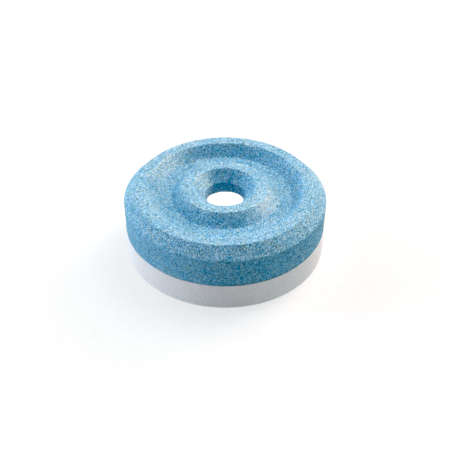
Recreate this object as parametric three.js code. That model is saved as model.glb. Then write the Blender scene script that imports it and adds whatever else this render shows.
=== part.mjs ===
// Pressed ring tablet in two layers: a speckled blue layer with a stepped ring relief,
// fused on top of a plain white base layer. A straight bore runs through both.
// Units are millimetres, +Z is up, and the origin is the centre of the flat underside.
import * as THREE from "three";

// Driving dimensions.
const HEIGHT = 36; // from the flat underside to the flat tops of the rim and the inner ring
const BORE_RADIUS = 10.6;
const RELIEF_DEPTH = 5.65; // every slope of the relief is 45 degrees, so this is its width too
const LAND_WIDTH = 5.95; // flat tops of the rim and of the inner ring
const GROOVE_FLOOR_WIDTH = 7.05;
const BASE_LEDGE = 0.35; // how far the white wall stands out from the blue one
const SEAM_HEIGHT_AT_WALL = 15.2;
const SEAM_HEIGHT_AT_BORE = 24.9; // the white layer rises in a collar around the bore
const SEAM_RISE_WIDTH = 17; // width of the slope from the level seam up to the bore
const SEAM_GAP = 0.3;

// Small roundings, as radii in the section.
const RELIEF_EDGE = 0.7;
const BASE_EDGE = 1.2;

// How finely curves are divided.
const ARC_STEPS = 2;
const SEAM_STEPS = 6;
const TURN_STEPS = 80;

// Radii and heights that follow from the driving dimensions, from the bore outwards.
const RING_INNER_RADIUS = BORE_RADIUS + RELIEF_DEPTH;
const RING_OUTER_RADIUS = RING_INNER_RADIUS + LAND_WIDTH;
const FLOOR_INNER_RADIUS = RING_OUTER_RADIUS + RELIEF_DEPTH;
const FLOOR_OUTER_RADIUS = FLOOR_INNER_RADIUS + GROOVE_FLOOR_WIDTH;
const RIM_INNER_RADIUS = FLOOR_OUTER_RADIUS + RELIEF_DEPTH;
const RIM_OUTER_RADIUS = RIM_INNER_RADIUS + LAND_WIDTH;
const BLUE_RADIUS = RIM_OUTER_RADIUS + RELIEF_DEPTH;
const BASE_RADIUS = BLUE_RADIUS + BASE_LEDGE;
const RELIEF_FOOT = HEIGHT - RELIEF_DEPTH;

// A corner of a section: radius and height, with the radius of the arc that rounds it.
function corner(radius, height, edge = 0) {
  return { point: new THREE.Vector2(radius, height), edge };
}

// The arc that rounds one corner, tangent to the sides that lead to its two neighbours.
function roundedCorner({ point, edge }, before, after) {
  const toBefore = before.clone().sub(point).normalize();
  const toAfter = after.clone().sub(point).normalize();
  const halfAngle = Math.acos(toBefore.dot(toAfter)) / 2;
  const bisector = toBefore.clone().add(toAfter).normalize();
  const centre = point.clone().addScaledVector(bisector, edge / Math.sin(halfAngle));
  const start = point.clone().addScaledVector(toBefore, edge / Math.tan(halfAngle)).sub(centre);
  const turn = Math.PI - 2 * halfAngle;
  const sweep = toBefore.cross(toAfter) > 0 ? -turn : turn;
  return Array.from({ length: ARC_STEPS + 1 }, (_, step) =>
    start.clone().rotateAround(new THREE.Vector2(), (sweep * step) / ARC_STEPS).add(centre),
  );
}

// A closed outline through the corners, with their edges rounded.
function closedOutline(corners) {
  const outline = corners.flatMap((here, index) => {
    if (here.edge === 0) return [here.point];
    const before = corners.at(index - 1).point;
    const after = corners[(index + 1) % corners.length].point;
    return roundedCorner(here, before, after);
  });
  return [...outline, outline[0].clone()];
}

// The seam between the layers, from the bore outwards: a smooth slope down from the bore,
// then level to the wall. The lift moves it up or down to leave the gap.
function seam(lift, wallRadius) {
  const rise = SEAM_HEIGHT_AT_BORE - SEAM_HEIGHT_AT_WALL;
  const slope = Array.from({ length: SEAM_STEPS + 1 }, (_, step) => {
    const along = step / SEAM_STEPS;
    const height = SEAM_HEIGHT_AT_WALL + (rise * (1 + Math.cos(Math.PI * along))) / 2;
    return corner(BORE_RADIUS + SEAM_RISE_WIDTH * along, height + lift);
  });
  return [...slope, corner(wallRadius, SEAM_HEIGHT_AT_WALL + lift)];
}

function turned(name, corners, material) {
  const mesh = new THREE.Mesh(new THREE.LatheGeometry(closedOutline(corners), TURN_STEPS), material);
  mesh.name = name;
  return mesh;
}

// The blue layer: seam, outer wall and chamfer, rim, groove, inner ring, funnel and bore.
function blueTopLayer() {
  const section = [
    ...seam(SEAM_GAP / 2, BLUE_RADIUS),
    corner(BLUE_RADIUS, RELIEF_FOOT, RELIEF_EDGE),
    corner(RIM_OUTER_RADIUS, HEIGHT, RELIEF_EDGE),
    corner(RIM_INNER_RADIUS, HEIGHT, RELIEF_EDGE),
    corner(FLOOR_OUTER_RADIUS, RELIEF_FOOT, RELIEF_EDGE),
    corner(FLOOR_INNER_RADIUS, RELIEF_FOOT, RELIEF_EDGE),
    corner(RING_OUTER_RADIUS, HEIGHT, RELIEF_EDGE),
    corner(RING_INNER_RADIUS, HEIGHT, RELIEF_EDGE),
    corner(BORE_RADIUS, RELIEF_FOOT, RELIEF_EDGE),
  ];
  const material = new THREE.MeshStandardMaterial({ color: 0x8fc4e3, roughness: 0.9, metalness: 0 });
  return turned("blue_top_layer", section, material);
}

// The white layer: flat underside, outer wall, seam and the foot of the bore.
function whiteBaseLayer() {
  const section = [
    corner(BORE_RADIUS, 0, BASE_EDGE),
    corner(BASE_RADIUS, 0, BASE_EDGE),
    ...seam(-SEAM_GAP / 2, BASE_RADIUS).reverse(),
  ];
  const material = new THREE.MeshStandardMaterial({ color: 0xe9ebee, roughness: 0.85, metalness: 0 });
  return turned("white_base_layer", section, material);
}

// A lathe turns its section about Y, so the group stands the tablet up along Z.
const tablet = new THREE.Group();
tablet.rotation.x = Math.PI / 2;
tablet.add(blueTopLayer(), whiteBaseLayer());

export default tablet;
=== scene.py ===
import math

import bpy
import numpy as np
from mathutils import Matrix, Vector, noise


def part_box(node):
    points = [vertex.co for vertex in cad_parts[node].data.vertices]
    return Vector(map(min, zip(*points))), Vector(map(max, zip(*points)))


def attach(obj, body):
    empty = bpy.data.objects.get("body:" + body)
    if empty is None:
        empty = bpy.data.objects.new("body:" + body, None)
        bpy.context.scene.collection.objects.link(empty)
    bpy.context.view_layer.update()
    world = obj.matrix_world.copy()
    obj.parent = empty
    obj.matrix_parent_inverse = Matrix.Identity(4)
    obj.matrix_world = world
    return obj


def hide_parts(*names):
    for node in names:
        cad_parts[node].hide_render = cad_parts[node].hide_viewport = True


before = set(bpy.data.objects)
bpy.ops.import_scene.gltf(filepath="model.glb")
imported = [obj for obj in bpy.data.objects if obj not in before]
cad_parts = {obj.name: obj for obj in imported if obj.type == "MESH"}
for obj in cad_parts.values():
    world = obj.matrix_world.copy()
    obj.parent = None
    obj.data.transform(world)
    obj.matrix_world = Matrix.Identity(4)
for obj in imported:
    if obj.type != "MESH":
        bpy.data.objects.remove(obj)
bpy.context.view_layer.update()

MM = 0.001

# Driving dimensions of the section, as the CAD layers have them.
RELIEF_DEPTH = 5.65 * MM
LAND_WIDTH = 5.95 * MM
GROOVE_FLOOR_WIDTH = 7.05 * MM
SEAM_HEIGHT_AT_WALL = 15.2 * MM
SEAM_HEIGHT_AT_BORE = 24.9 * MM
SEAM_RISE_WIDTH = 17 * MM

# The gap at the seam and the roundings in the section. The gap and the relief's edges are finer
# than in the CAD layers, because the pressed layers touch and their crests are crisp.
SEAM_GAP = 0.02 * MM
RELIEF_EDGE = 0.5 * MM
BASE_EDGE = 1.2 * MM
BLUE_SEAM_EDGE = 0.08 * MM
WHITE_SEAM_EDGE = 0.12 * MM

# How finely the visual meshes are divided.
CELL = 0.5 * MM
UNDERSIDE_CELL = 2 * CELL
HIDDEN_CELL = 1.5 * MM  # along the seam, where the layers hide each other
LONGEST_CELL = 1.05 * CELL  # around a ring
ARC_STEP = 0.2 * MM
SEAM_STEPS = 12
RING_UNIT = 84  # every ring has two, four or eight times this many points
MOST_UNITS = 8

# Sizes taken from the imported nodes.
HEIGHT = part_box("blue_top_layer")[1][2]
BLUE_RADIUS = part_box("blue_top_layer")[1][0]
BASE_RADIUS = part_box("white_base_layer")[1][0]
RELIEF_FOOT = HEIGHT - RELIEF_DEPTH
RIM_OUTER = BLUE_RADIUS - RELIEF_DEPTH
RIM_INNER = RIM_OUTER - LAND_WIDTH
FLOOR_OUTER = RIM_INNER - RELIEF_DEPTH
FLOOR_INNER = FLOOR_OUTER - GROOVE_FLOOR_WIDTH
RING_OUTER = FLOOR_INNER - RELIEF_DEPTH
RING_INNER = RING_OUTER - LAND_WIDTH
BORE_RADIUS = RING_INNER - RELIEF_DEPTH

# What is pressed into each layer's surface. A grain and a swell have a depth and a size. A pit has a
# depth, a spacing, the share of places that has one, and a radius.
BLUE_RELIEF = {
    "grain": (0.03 * MM, 1.0 * MM),
    "swell": (0.05 * MM, 7 * MM),
    "pit": (0.16 * MM, 2.6 * MM, 0.15, 0.8 * MM),
}
WHITE_RELIEF = {
    "grain": (0.015 * MM, 0.8 * MM),
    "swell": (0.04 * MM, 9 * MM),
    "pit": (0.08 * MM, 4.5 * MM, 0.12, 0.6 * MM),
}
JOINT_RISE = 1.2  # depth gained per grain size of distance from a grain's middle
PIT_FLOOR = 0.3  # the flat bottom's share of a pit's radius
PIT_LOTTERY = 7.3  # spreads the pits' places out over the cells that decide which are kept
SEAM_CLEARANCE = 1.2 * MM  # nothing is pressed in at the seam, and everything this far from it

# The stage. The camera points at the origin, which isn't the middle of the tablet, so the frame is
# shifted by a part of its width.
FLOOR_HALF_WIDTH = 6.0
FLOOR_GLOW = 0.64
FLOOR_TONES = [(0.3, (0.29, 0.29, 0.29)), (0.7, (0.31, 0.31, 0.31))]
FLOOR_CLOUD_SIZE = 4 * MM
FLOOR_ROUGHNESS = 0.9
FLOOR_GLOSS = 0.1
CAMERA_RISE = math.radians(40.22)
CAMERA_DISTANCE = 7.5 * BLUE_RADIUS
LENS = 57.38
FRAME_SHIFT = (-0.0003, 0.0324)
BLACK_LEVEL = (0.085, 0.07, 0.066)
SOFTBOX_DISTANCE = 3.0
SOFTBOX_SIZE = 1.65

# Softboxes around the tablet: azimuth (0 is +X, 90 is +Y) and rise in degrees, the power in watts that
# the light would need at a distance of one metre, and its colour.
SOFTBOXES = {
    "key_back_right": (45, 30, 6.2, (1.0, 0.72, 0.59)),
    "key_high_right": (48, 60, 5.7, (1.0, 0.91, 0.87)),
    "overhead": (0, 90, 3.9, (0.86, 0.99, 1.0)),
    "side_left": (178, 10, 6.0, (0.94, 1.0, 0.99)),
    "back_left": (135, 30, 2.4, (0.89, 1.0, 0.92)),
    "fill_right": (2, 15, 1.75, (0.79, 1.0, 0.96)),
    "fill_left": (180, 30, 1.3, (0.1, 0.25, 1.0)),
}

# The spot that shines down the bore, at a height on the bore's far wall.
BORE_LIGHT_POWER = 28.0
BORE_LIGHT_DISTANCE = 0.6
BORE_LIGHT_TARGET = 18.4 * MM
BORE_LIGHT_WIDTH = 0.92  # of the bore's radius
BORE_LIGHT_FLATNESS = 0.47
BORE_LIGHT_BLEND = 0.05


# ---------------------------------------------------------------- sections

def rounded(before, here, after, edge):
    """The points of an arc that rounds the corner at here, tangent to both sides."""
    here = np.array(here)
    to_before = np.array(before) - here
    to_after = np.array(after) - here
    to_before /= np.linalg.norm(to_before)
    to_after /= np.linalg.norm(to_after)
    half = math.acos(float(to_before @ to_after)) / 2
    bisector = to_before + to_after
    centre = here + bisector / np.linalg.norm(bisector) * edge / math.sin(half)
    start = here + to_before * edge / math.tan(half) - centre
    turn = math.pi - 2 * half
    cross = to_before[0] * to_after[1] - to_before[1] * to_after[0]
    sweep = -turn if cross > 0 else turn
    steps = max(2, math.ceil(turn * edge / ARC_STEP))
    angles = np.linspace(0, sweep, steps + 1)
    cos, sin = np.cos(angles), np.sin(angles)
    return centre + np.stack([cos * start[0] - sin * start[1], sin * start[0] + cos * start[1]], 1)


def outline(corners):
    """A closed section: corners are (radius, height, edge, cell), and cell is how finely the side
    that leads on from the corner is divided."""
    runs = []
    for i, (radius, height, edge, _) in enumerate(corners):
        before, after = corners[i - 1][:2], corners[(i + 1) % len(corners)][:2]
        here = np.array([[radius, height]])
        runs.append(rounded(before, (radius, height), after, edge) if edge else here)
    points = []
    for i, run in enumerate(runs):
        points.extend(run)
        start, end = run[-1], runs[(i + 1) % len(runs)][0]
        steps = max(1, round(float(np.linalg.norm(end - start)) / corners[i][3]))
        points.extend(start + (end - start) * k / steps for k in range(1, steps))
    return np.array(points)


def seam_height(radius):
    """The seam rises smoothly from its height at the wall to its height at the bore."""
    share = min(1.0, max(0.0, (radius - BORE_RADIUS) / SEAM_RISE_WIDTH))
    rise = SEAM_HEIGHT_AT_BORE - SEAM_HEIGHT_AT_WALL
    return SEAM_HEIGHT_AT_WALL + rise * (1 + math.cos(math.pi * share)) / 2


def seam(lift, wall_radius, edge):
    """The corners of the seam between the layers, from the bore to the wall."""
    corners = []
    for k in range(SEAM_STEPS + 1):
        radius = BORE_RADIUS + SEAM_RISE_WIDTH * k / SEAM_STEPS
        corner_edge = edge if k == 0 else 0
        corners.append((radius, seam_height(radius) + lift, corner_edge, HIDDEN_CELL))
    corners.append((wall_radius, SEAM_HEIGHT_AT_WALL + lift, edge, CELL))
    return corners


def blue_section():
    """Seam, outer wall and chamfer, rim, groove, inner ring, funnel and bore."""
    return outline(seam(SEAM_GAP / 2, BLUE_RADIUS, BLUE_SEAM_EDGE) + [
        (BLUE_RADIUS, RELIEF_FOOT, RELIEF_EDGE, CELL),
        (RIM_OUTER, HEIGHT, RELIEF_EDGE, CELL),
        (RIM_INNER, HEIGHT, RELIEF_EDGE, CELL),
        (FLOOR_OUTER, RELIEF_FOOT, RELIEF_EDGE, CELL),
        (FLOOR_INNER, RELIEF_FOOT, RELIEF_EDGE, CELL),
        (RING_OUTER, HEIGHT, RELIEF_EDGE, CELL),
        (RING_INNER, HEIGHT, RELIEF_EDGE, CELL),
        (BORE_RADIUS, RELIEF_FOOT, RELIEF_EDGE, CELL),
    ])


def white_section():
    """Underside, outer wall, seam and the foot of the bore."""
    wall, *slope, bore = seam(-SEAM_GAP / 2, BASE_RADIUS, WHITE_SEAM_EDGE)[::-1]
    return outline([
        (BORE_RADIUS, 0, BASE_EDGE, UNDERSIDE_CELL),
        (BASE_RADIUS, 0, BASE_EDGE, CELL),
        (*wall[:3], HIDDEN_CELL),
        *slope,
        (*bore[:3], CELL),
    ])


# ---------------------------------------------------------------- meshes

def points_around(radius):
    """How many points a ring has: doubled until its cells are short enough, so that rings join neatly."""
    count = RING_UNIT
    while 2 * math.pi * radius / count > LONGEST_CELL and count < MOST_UNITS * RING_UNIT:
        count *= 2
    return count


def join_rings(first, second):
    """The faces between two rings of vertex numbers, where one may have twice as many as the other."""
    if len(first) == len(second):
        n = len(first)
        return [(first[i], first[(i + 1) % n], second[(i + 1) % n], second[i]) for i in range(n)]
    if len(first) > len(second):
        return [face[::-1] for face in join_rings(second, first)]
    n, m = len(first), len(second)
    faces = []
    for i in range(n):
        here, there = first[i], first[(i + 1) % n]
        near, middle, far = second[2 * i], second[2 * i + 1], second[(2 * i + 2) % m]
        faces += [(here, middle, near), (here, there, middle), (there, far, middle)]
    return faces


def revolve(section):
    """The vertices and faces of a section turned about Z."""
    rings, vertices, faces = [], [], []
    for radius, height in section:
        count = points_around(radius)
        angles = np.arange(count) * 2 * math.pi / count
        ring = np.stack([radius * np.cos(angles), radius * np.sin(angles), np.full(count, height)], 1)
        start = sum(len(v) for v in vertices)
        rings.append(range(start, start + count))
        vertices.append(ring)
    for here, after in zip(rings, rings[1:] + rings[:1]):
        faces += join_rings(here, after)
    return np.concatenate(vertices), faces


def mesh_object(name, vertices, faces):
    mesh = bpy.data.meshes.new(name)
    mesh.from_pydata(vertices.tolist(), [], faces)
    mesh.validate()
    mesh.polygons.foreach_set("use_smooth", np.ones(len(mesh.polygons), bool))
    obj = bpy.data.objects.new(name, mesh)
    bpy.context.scene.collection.objects.link(obj)
    return obj


def normals_of(obj):
    normals = np.empty(len(obj.data.vertices) * 3, np.float32)
    obj.data.vertices.foreach_get("normal", normals)
    return normals.reshape(-1, 3)


def press_in(obj, relief):
    """Moves each vertex inwards along its normal by the relief's depth, so the piece never grows."""
    places = np.empty(len(obj.data.vertices) * 3, np.float32)
    obj.data.vertices.foreach_get("co", places)
    places = places.reshape(-1, 3)
    depths = np.array([pressed_depth(Vector(p), relief) for p in places], np.float32)
    places -= normals_of(obj) * depths[:, None]
    obj.data.vertices.foreach_set("co", places.ravel())
    obj.data.update()


def smoothstep(low, high, value):
    t = min(1.0, max(0.0, (value - low) / (high - low)))
    return t * t * (3 - 2 * t)


def grain_depth(place, size):
    """0 at the middle of a grain to 1 at the joints between grains."""
    nearest = noise.voronoi(place / size)[0][0]
    return min(1.0, nearest * JOINT_RISE)


def pit_depth(place, spacing, share, radius):
    """Depth from 0 to 1 of scattered round pits: a share of the cells of a grid of spacing has one."""
    distances, centres = noise.voronoi(place / spacing)
    if noise.cell(centres[0] * PIT_LOTTERY) > share:
        return 0.0
    return 1 - smoothstep(PIT_FLOOR * radius, radius, distances[0] * spacing)


def clear_of_seam(place):
    """0 at the seam, where the layers hold each other, to 1 a little away from it."""
    off = abs(place.z - seam_height(math.hypot(place.x, place.y)))
    return smoothstep(0, SEAM_CLEARANCE, off)


def pressed_depth(place, relief):
    """How deep a layer's surface is pressed in at a place, in metres."""
    grain_reach, grain_size = relief["grain"]
    swell_reach, swell_size = relief["swell"]
    pit_reach, *pit = relief["pit"]
    grains = grain_reach * grain_depth(place, grain_size)
    swell = swell_reach * (0.5 + 0.5 * noise.noise(place / swell_size))
    pits = pit_reach * pit_depth(place, *pit)
    return (grains + swell + pits) * clear_of_seam(place)


# ---------------------------------------------------------------- materials

class Nodes:
    """Short calls for building a material's node tree."""

    ARC_CORE = 0.1  # the share of an arc's half spread that is at full strength
    BAND_CORE = 0.5  # the share of its half width

    def __init__(self, name):
        self.material = bpy.data.materials.new(name)
        self.material.use_nodes = True
        self.tree = self.material.node_tree
        self.shader = self.tree.nodes["Principled BSDF"]

    def add(self, kind, **settings):
        node = self.tree.nodes.new(kind)
        for key, value in settings.items():
            setattr(node, key, value)
        return node

    def put(self, value, socket):
        """Links another node's output to the socket, or sets the socket to a constant."""
        if isinstance(value, bpy.types.NodeSocket):
            self.tree.links.new(value, socket)
        else:
            socket.default_value = value

    def place(self):
        return self.add("ShaderNodeTexCoord").outputs["Object"]

    def scaled(self, place, scale):
        node = self.add("ShaderNodeVectorMath", operation="MULTIPLY")
        self.put(place, node.inputs[0])
        self.put(scale, node.inputs[1])
        return node.outputs[0]

    def moved(self, place, metres):
        node = self.add("ShaderNodeVectorMath", operation="ADD")
        self.put(place, node.inputs[0])
        self.put((metres,) * 3, node.inputs[1])
        return node.outputs[0]

    def shaken(self, place, size, reach):
        """The place moved at random by up to about half the reach, so that cells get ragged edges."""
        shift = self.add("ShaderNodeVectorMath", operation="SUBTRACT")
        self.put(self.noise(place, size, 2.0, output="Color"), shift.inputs[0])
        self.put((0.5, 0.5, 0.5), shift.inputs[1])
        node = self.add("ShaderNodeVectorMath", operation="MULTIPLY_ADD")
        self.put(shift.outputs[0], node.inputs[0])
        self.put((reach,) * 3, node.inputs[1])
        self.put(place, node.inputs[2])
        return node.outputs[0]

    def noise(self, place, size, detail, output="Fac"):
        node = self.add("ShaderNodeTexNoise")
        self.put(place, node.inputs["Vector"])
        self.put(1 / size, node.inputs["Scale"])
        self.put(detail, node.inputs["Detail"])
        return node.outputs[output]

    def cells(self, place, size, output="Color"):
        """Cells of about a size: a random colour for each, or the distance from its middle in sizes."""
        node = self.add("ShaderNodeTexVoronoi")
        self.put(place, node.inputs["Vector"])
        self.put(1 / size, node.inputs["Scale"])
        return node.outputs[output]

    def math(self, operation, a, b=0.0, c=0.0):
        node = self.add("ShaderNodeMath", operation=operation)
        for value, socket in zip((a, b, c), node.inputs):
            self.put(value, socket)
        return node.outputs[0]

    def channels(self, colour):
        node = self.add("ShaderNodeSeparateColor")
        self.put(colour, node.inputs[0])
        return node.outputs

    def grey(self, value):
        node = self.add("ShaderNodeCombineColor")
        for socket in node.inputs:
            self.put(value, socket)
        return node.outputs[0]

    def span(self, value, low, high, to_low=0.0, to_high=1.0):
        """The value taken smoothly from the range low to high to the range to_low to to_high."""
        node = self.add("ShaderNodeMapRange", interpolation_type="SMOOTHSTEP")
        for v, socket in zip((value, low, high, to_low, to_high), node.inputs):
            self.put(v, socket)
        return node.outputs[0]

    def ramp(self, value, stops):
        node = self.add("ShaderNodeValToRGB")
        elements = node.color_ramp.elements
        while len(elements) < len(stops):
            elements.new(0.5)
        for element, (position, colour) in zip(elements, stops):
            element.position = position
            element.color = (*colour, 1)
        self.put(value, node.inputs[0])
        return node.outputs[0]

    def blend(self, share, a, b, mode="MIX", clamp=False):
        """Two colours mixed. The colour sockets of the node are inputs 6 and 7 and output 2."""
        node = self.add("ShaderNodeMix", data_type="RGBA", blend_type=mode, clamp_result=clamp)
        self.put(share, node.inputs[0])
        self.put(a, node.inputs[6])
        self.put(b, node.inputs[7])
        return node.outputs[2]

    def radius(self, place):
        """The distance from the Z axis."""
        node = self.add("ShaderNodeVectorMath", operation="LENGTH")
        self.put(self.scaled(place, (1, 1, 0)), node.inputs[0])
        return node.outputs["Value"]

    def height(self, place):
        node = self.add("ShaderNodeSeparateXYZ")
        self.put(place, node.inputs[0])
        return node.outputs["Z"]

    def arc_patch(self, azimuth, spread, radius, width):
        """1 on an arc around the Z axis, falling to 0 at its ends and sides."""
        turned = self.add("ShaderNodeVectorRotate", rotation_type="Z_AXIS")
        self.put(self.place(), turned.inputs["Vector"])
        self.put(-math.radians(azimuth), turned.inputs["Angle"])
        parts = self.add("ShaderNodeSeparateXYZ")
        self.put(turned.outputs[0], parts.inputs[0])
        turn = self.math("ABSOLUTE", self.math("ARCTAN2", parts.outputs["Y"], parts.outputs["X"]))
        along = self.span(turn, self.ARC_CORE * math.radians(spread), math.radians(spread), 1, 0)
        off = self.math("ABSOLUTE", self.math("SUBTRACT", self.radius(self.place()), radius))
        return self.math("MULTIPLY", along, self.span(off, self.BAND_CORE * width, width, 1, 0))

    def bump(self, height, depth, normal=None):
        node = self.add("ShaderNodeBump")
        self.put(height, node.inputs["Height"])
        self.put(1.0, node.inputs["Strength"])
        self.put(depth, node.inputs["Distance"])
        if normal is not None:
            self.put(normal, node.inputs["Normal"])
        return node.outputs[0]


GRAIN = 0.4 * MM  # the grains that can be seen, in both layers

# White salt, and how strongly a unit of blue dye absorbs red, green and blue.
SALT = 0.96
DYE = (1.10, 0.60, 0.34)
MOST_DYE = 3

# What makes the amount of dye vary, and how large each is. A place is shaken by RAGGED before cells
# are looked up, so that they get ragged edges: the size of the shaking and its reach.
RAGGED = (0.9 * MM, 0.4 * MM)
CLOUD_SIZE = 3.5 * MM
DRIFT_SIZE = 12 * MM
BLOB_SIZE = 2.2 * MM
DARK_GRAIN_SIZE = 0.7 * MM
BLOB_CHANCE = (0.80, 0.86)  # a cell's random number, from no blob to a full one
DARK_GRAIN_CHANCE = (0.91, 0.95)
BLOB_EDGE = (0.12, 0.34)  # where a blob fades out, as a distance in blob sizes

# Units of dye.
LEAST_DYE = 0.12
GRAIN_DYE = 1.18
CLOUD_DYE = 0.80
DRIFT_DYE = 0.30
BLOB_DYE = 0.8
DARK_GRAIN_DYE = 0.8
# Painted shade: extra dye that makes the outer wall darker than the top.
WALL_PAINTED_SHADE = 0.2
# Painted shade: extra dye that darkens the recesses.
RECESS_PAINTED_SHADE = 0.13
EVEN_DYE = 1.05  # what the rubbed walls and the painted highlights are evened out towards

# A gain on the colour, which keeps the larger patches of dye about equally light.
FULL_GAIN = 1.045
GRAIN_GAIN = -0.84
BLOB_GAIN = 0.22
DARK_GRAIN_GAIN = 0.22
CLOUD_GAIN = 0.36
EVEN_GAIN = 0.97

# Powers that make most grains pale in dye and bright in gain, with a few strong ones.
DYE_CONTRAST = 1.6
GAIN_CONTRAST = 2.2

# How far the dye and the gain are evened out, on the rubbed walls and under the painted highlights.
WALL_EVENNESS = 0.22
HIGHLIGHT_DYE_EVENNESS = 0.5
HIGHLIGHT_GAIN_EVENNESS = 0.6

# Where the wall, the bore and the painted shade of the recesses begin and fully count: distances inside
# the wall's and outside the bore's radius, and depths below the top.
WALL_SKIN = (0.4 * MM, 0.15 * MM)
RECESS_DEPTHS = (0.8 * MM, 2 * MM)

# Slight differences of hue: creamy patches, and grains between a pinkish and a greenish tint.
CREAM = (1.08, 1.0, 0.88, 1)
CREAM_SIZE = 2.6 * MM
CREAM_RANGE = (0.45, 0.75)
PINKISH = (1.05, 0.945, 1.03, 1)
GREENISH = (0.96, 1.055, 0.96, 1)

# Painted highlights where a warm light falls on three slopes, painted as patches with less dye: azimuth
# and half spread in degrees, radius and half width, and how much less.
PAINTED_HIGHLIGHTS = [
    (326, 42, 25.0 * MM, 4.5 * MM, 0.48),
    (145, 32, 38.2 * MM, 3.9 * MM, 0.42),
    (147, 34, 13.6 * MM, 4.5 * MM, 0.40),
]

BLUE_ROUGHNESS = (0.72, 0.95)
BLUE_GLOSS = 0.12
BLUE_JOINT_BUMP = -0.025 * MM

# The white layer: a fine noise, drag marks that are long along Z, and grains, each with its share of
# the tone, and the colours between which the tone runs.
FINE_SIZE = 0.5 * MM
DRAG_SIZE = 1.6 * MM
DRAG_SQUEEZE = 0.06
FINE_SHARE, DRAG_SHARE, GRAIN_SHARE = 0.35, 0.25, 0.4
WHITE_TONES = [(0.25, (0.74, 0.74, 0.76)), (0.75, (0.88, 0.88, 0.90))]
WHITE_ROUGHNESS = (0.7, 0.85)
WHITE_GLOSS = 0.35
DRAG_BUMP = 0.04 * MM
FINE_BUMP = 0.03 * MM

# Distances that take a noise to another part of itself, so that it is independent of the others.
DRIFT_OFFSET = 0.3
CREAM_OFFSET = 0.7


def dyed(amount):
    """The colour of salt with that amount of dye."""
    return tuple(SALT * math.exp(-amount * absorbed) for absorbed in DYE)


def blue_salt():
    """Pressed grains with more or less blue dye, some nearly white, with scattered dark grains, painted
    shade on the outer wall and in the recesses, and painted highlights on three slopes.
    """
    n = Nodes("speckled_blue_salt")
    place = n.place()
    ragged = n.shaken(place, *RAGGED)
    fine = n.channels(n.cells(ragged, GRAIN))
    cloud = n.noise(place, CLOUD_SIZE, 3.0)
    drift = n.noise(n.moved(place, DRIFT_OFFSET), DRIFT_SIZE, 1.0)

    # The amount of dye, with painted shade on the outer wall and in the recesses, and painted highlights
    # on three slopes.
    dye = n.math("MULTIPLY_ADD", n.math("POWER", fine[0], DYE_CONTRAST), GRAIN_DYE, LEAST_DYE)
    dye = n.math("MULTIPLY_ADD", cloud, CLOUD_DYE, dye)
    dye = n.math("MULTIPLY_ADD", drift, DRIFT_DYE, dye)
    blob_share = n.span(n.channels(n.cells(ragged, BLOB_SIZE))[0], *BLOB_CHANCE)
    blob_shape = n.span(n.cells(ragged, BLOB_SIZE, "Distance"), *BLOB_EDGE, 1, 0)
    blob = n.math("MULTIPLY", blob_shape, blob_share)
    dye = n.math("MULTIPLY_ADD", blob, BLOB_DYE, dye)
    dark_grain = n.span(n.channels(n.cells(ragged, DARK_GRAIN_SIZE))[1], *DARK_GRAIN_CHANCE)
    dye = n.math("MULTIPLY_ADD", dark_grain, DARK_GRAIN_DYE, dye)
    # Painted shade: extra dye darkens the recesses inside the rim, from 0.8 mm below the top downwards.
    recess_start, recess_full = RECESS_DEPTHS
    recess = n.math("MULTIPLY", n.span(n.height(place), HEIGHT - recess_start, HEIGHT - recess_full),
                    n.span(n.radius(place), RIM_OUTER, RIM_INNER))
    dye = n.math("MULTIPLY_ADD", recess, RECESS_PAINTED_SHADE, dye)
    skin_start, skin_full = WALL_SKIN
    wall = n.span(n.radius(place), BLUE_RADIUS - skin_start, BLUE_RADIUS - skin_full)
    bore = n.span(n.radius(place), BORE_RADIUS + skin_start, BORE_RADIUS + skin_full)
    rubbed = n.math("MULTIPLY", n.math("MAXIMUM", wall, bore), WALL_EVENNESS)
    # Painted highlights: three arcs on the slopes, where the dye is evened out and lowered.
    pale = 0.0
    for azimuth, spread, radius, width, less in PAINTED_HIGHLIGHTS:
        pale = n.math("MULTIPLY_ADD", n.arc_patch(azimuth, spread, radius, width), less, pale)
    evenness = n.math("MULTIPLY_ADD", pale, HIGHLIGHT_DYE_EVENNESS, rubbed)
    dye = n.math("MULTIPLY_ADD", n.math("SUBTRACT", EVEN_DYE, dye), evenness, dye)
    # Painted shade: extra dye darkens the outer wall.
    dye = n.math("MULTIPLY_ADD", wall, WALL_PAINTED_SHADE, dye)
    dye = n.math("SUBTRACT", dye, pale)
    stops = [(amount / MOST_DYE, dyed(amount)) for amount in (0, 0.5, 1, 1.5, 2, MOST_DYE)]
    colour = n.ramp(n.math("MULTIPLY", dye, 1 / MOST_DYE), stops)

    # The hue and the gain.
    cream_share = n.span(n.noise(n.moved(place, CREAM_OFFSET), CREAM_SIZE, 2.0), *CREAM_RANGE)
    colour = n.blend(cream_share, colour, CREAM, "MULTIPLY")
    gain = n.math("MULTIPLY_ADD", n.math("POWER", fine[1], GAIN_CONTRAST), GRAIN_GAIN, FULL_GAIN)
    gain = n.math("MULTIPLY_ADD", dark_grain, DARK_GRAIN_GAIN, gain)
    gain = n.math("MULTIPLY_ADD", blob, BLOB_GAIN, gain)
    gain = n.math("MULTIPLY_ADD", cloud, CLOUD_GAIN, gain)
    # Painted highlights: the gain is evened out under them.
    highlight_gain = n.math("MULTIPLY", pale, HIGHLIGHT_GAIN_EVENNESS)
    gain = n.math("MULTIPLY_ADD", n.math("SUBTRACT", EVEN_GAIN, gain), highlight_gain, gain)
    tint = n.blend(fine[2], PINKISH, GREENISH)
    colour = n.blend(1.0, colour, tint, "MULTIPLY")
    colour = n.blend(1.0, colour, n.grey(gain), "MULTIPLY", clamp=True)
    n.put(colour, n.shader.inputs["Base Color"])

    n.put(n.span(fine[2], 0.0, 1.0, *BLUE_ROUGHNESS), n.shader.inputs["Roughness"])
    n.put(BLUE_GLOSS, n.shader.inputs["Specular IOR Level"])
    joints = n.cells(ragged, GRAIN, "Distance")
    n.put(n.bump(joints, BLUE_JOINT_BUMP), n.shader.inputs["Normal"])
    return n.material


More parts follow.
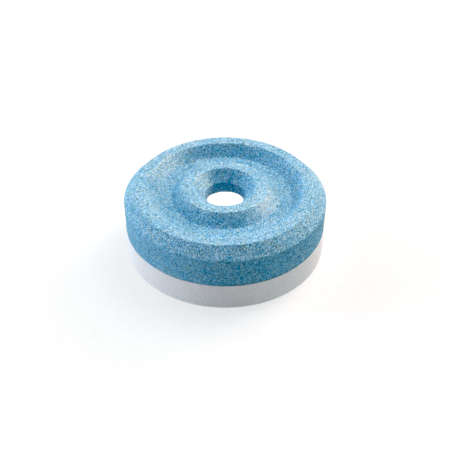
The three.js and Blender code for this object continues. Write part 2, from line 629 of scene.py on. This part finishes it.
def white_salt():
    """Fine white grains pressed smooth, with faint upright drag marks from the die."""
    n = Nodes("white_salt")
    place = n.place()
    fine = n.noise(place, FINE_SIZE, 3.0)
    drag = n.noise(n.scaled(place, (1, 1, DRAG_SQUEEZE)), DRAG_SIZE, 3.0)
    grain = n.channels(n.cells(place, GRAIN))[0]
    tone = n.math("MULTIPLY_ADD", fine, FINE_SHARE, n.math("MULTIPLY", drag, DRAG_SHARE))
    tone = n.math("MULTIPLY_ADD", grain, GRAIN_SHARE, tone)
    n.put(n.ramp(tone, WHITE_TONES), n.shader.inputs["Base Color"])
    n.put(n.span(fine, 0.3, 0.7, *WHITE_ROUGHNESS), n.shader.inputs["Roughness"])
    n.put(WHITE_GLOSS, n.shader.inputs["Specular IOR Level"])
    coarse = n.bump(drag, DRAG_BUMP)
    n.put(n.bump(fine, FINE_BUMP, coarse), n.shader.inputs["Normal"])
    return n.material


def floor_acrylic():
    """A mid-grey table that glows white, so that it looks pale and takes only faint shadows."""
    n = Nodes("floor_acrylic")
    cloud = n.noise(n.place(), FLOOR_CLOUD_SIZE, 3.0)
    n.put(n.ramp(cloud, FLOOR_TONES), n.shader.inputs["Base Color"])
    n.put((1, 1, 1, 1), n.shader.inputs["Emission Color"])
    n.put(FLOOR_GLOW, n.shader.inputs["Emission Strength"])
    n.put(FLOOR_ROUGHNESS, n.shader.inputs["Roughness"])
    n.put(FLOOR_GLOSS, n.shader.inputs["Specular IOR Level"])
    return n.material


# ---------------------------------------------------------------- the tablet

def layer(name, section, relief, material, node):
    vertices, faces = revolve(section)
    piece = mesh_object(name, vertices, faces)
    press_in(piece, relief)
    piece.data.materials.append(material)
    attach(piece, "root")
    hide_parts(node)


layer("blue_layer", blue_section(), BLUE_RELIEF, blue_salt(), "blue_top_layer")
layer("white_layer", white_section(), WHITE_RELIEF, white_salt(), "white_base_layer")


# ---------------------------------------------------------------- floor, camera and light

def add_floor():
    corners = ((-1, -1), (1, -1), (1, 1), (-1, 1))
    vertices = np.array([(x * FLOOR_HALF_WIDTH, y * FLOOR_HALF_WIDTH, 0) for x, y in corners])
    floor = mesh_object("floor", vertices, [(0, 1, 2, 3)])
    floor.data.materials.append(floor_acrylic())


def add_camera():
    data = bpy.data.cameras.new("camera")
    data.lens = LENS
    data.shift_x, data.shift_y = FRAME_SHIFT
    camera = bpy.data.objects.new("camera", data)
    camera.location = (
        0,
        -CAMERA_DISTANCE * math.cos(CAMERA_RISE),
        CAMERA_DISTANCE * math.sin(CAMERA_RISE),
    )
    camera.rotation_euler = (math.pi / 2 - CAMERA_RISE, 0, 0)
    bpy.context.scene.collection.objects.link(camera)
    bpy.context.scene.camera = camera


def add_softbox(name, azimuth, rise, power, colour):
    """A round area light aimed at the tablet."""
    data = bpy.data.lights.new(name, "AREA")
    data.shape = "DISK"
    data.size = SOFTBOX_SIZE
    data.energy = power * SOFTBOX_DISTANCE ** 2
    data.color = colour
    light = bpy.data.objects.new(name, data)
    turn, lift = math.radians(azimuth), math.radians(rise)
    way = Vector((math.cos(lift) * math.cos(turn), math.cos(lift) * math.sin(turn), math.sin(lift)))
    light.location = way * SOFTBOX_DISTANCE
    light.rotation_euler = way.to_track_quat("Z", "Y").to_euler()
    bpy.context.scene.collection.objects.link(light)


def add_world():
    """A pale backdrop that the camera sees but that lights nothing."""
    world = bpy.data.worlds.new("studio")
    world.use_nodes = True
    nodes, links = world.node_tree.nodes, world.node_tree.links
    path = nodes.new("ShaderNodeLightPath")
    glow = nodes.new("ShaderNodeMath")
    glow.operation = "MULTIPLY"
    glow.inputs[1].default_value = FLOOR_GLOW
    links.new(path.outputs["Is Camera Ray"], glow.inputs[0])
    links.new(glow.outputs[0], nodes["Background"].inputs["Strength"])
    nodes["Background"].inputs["Color"].default_value = (1, 1, 1, 1)
    bpy.context.scene.world = world


def add_bore_light():
    """A narrow spot down the bore from the front, which lights the white wall inside it."""
    data = bpy.data.lights.new("bore_spot", "SPOT")
    data.energy = BORE_LIGHT_POWER
    data.shadow_soft_size = 0.0
    data.spot_size = 2 * math.atan(BORE_LIGHT_WIDTH * BORE_RADIUS / BORE_LIGHT_DISTANCE)
    data.spot_blend = BORE_LIGHT_BLEND
    spot = bpy.data.objects.new("bore_spot", data)
    target = Vector((0, BORE_RADIUS, BORE_LIGHT_TARGET))
    way = Vector((0, -math.cos(CAMERA_RISE), math.sin(CAMERA_RISE)))
    spot.location = target + way * BORE_LIGHT_DISTANCE
    spot.rotation_euler = way.to_track_quat("Z", "Y").to_euler()
    spot.scale = (1.0, BORE_LIGHT_FLATNESS, 1.0)
    bpy.context.scene.collection.objects.link(spot)


def set_tone():
    """A plain display transform with slightly deeper shadows."""
    view = bpy.context.scene.view_settings
    view.view_transform = "Standard"
    view.use_curve_mapping = True
    view.curve_mapping.black_level = BLACK_LEVEL
    view.curve_mapping.update()


add_floor()
add_camera()
for name, (azimuth, rise, power, colour) in SOFTBOXES.items():
    add_softbox(name, azimuth, rise, power, colour)
add_world()
add_bore_light()
set_tone()
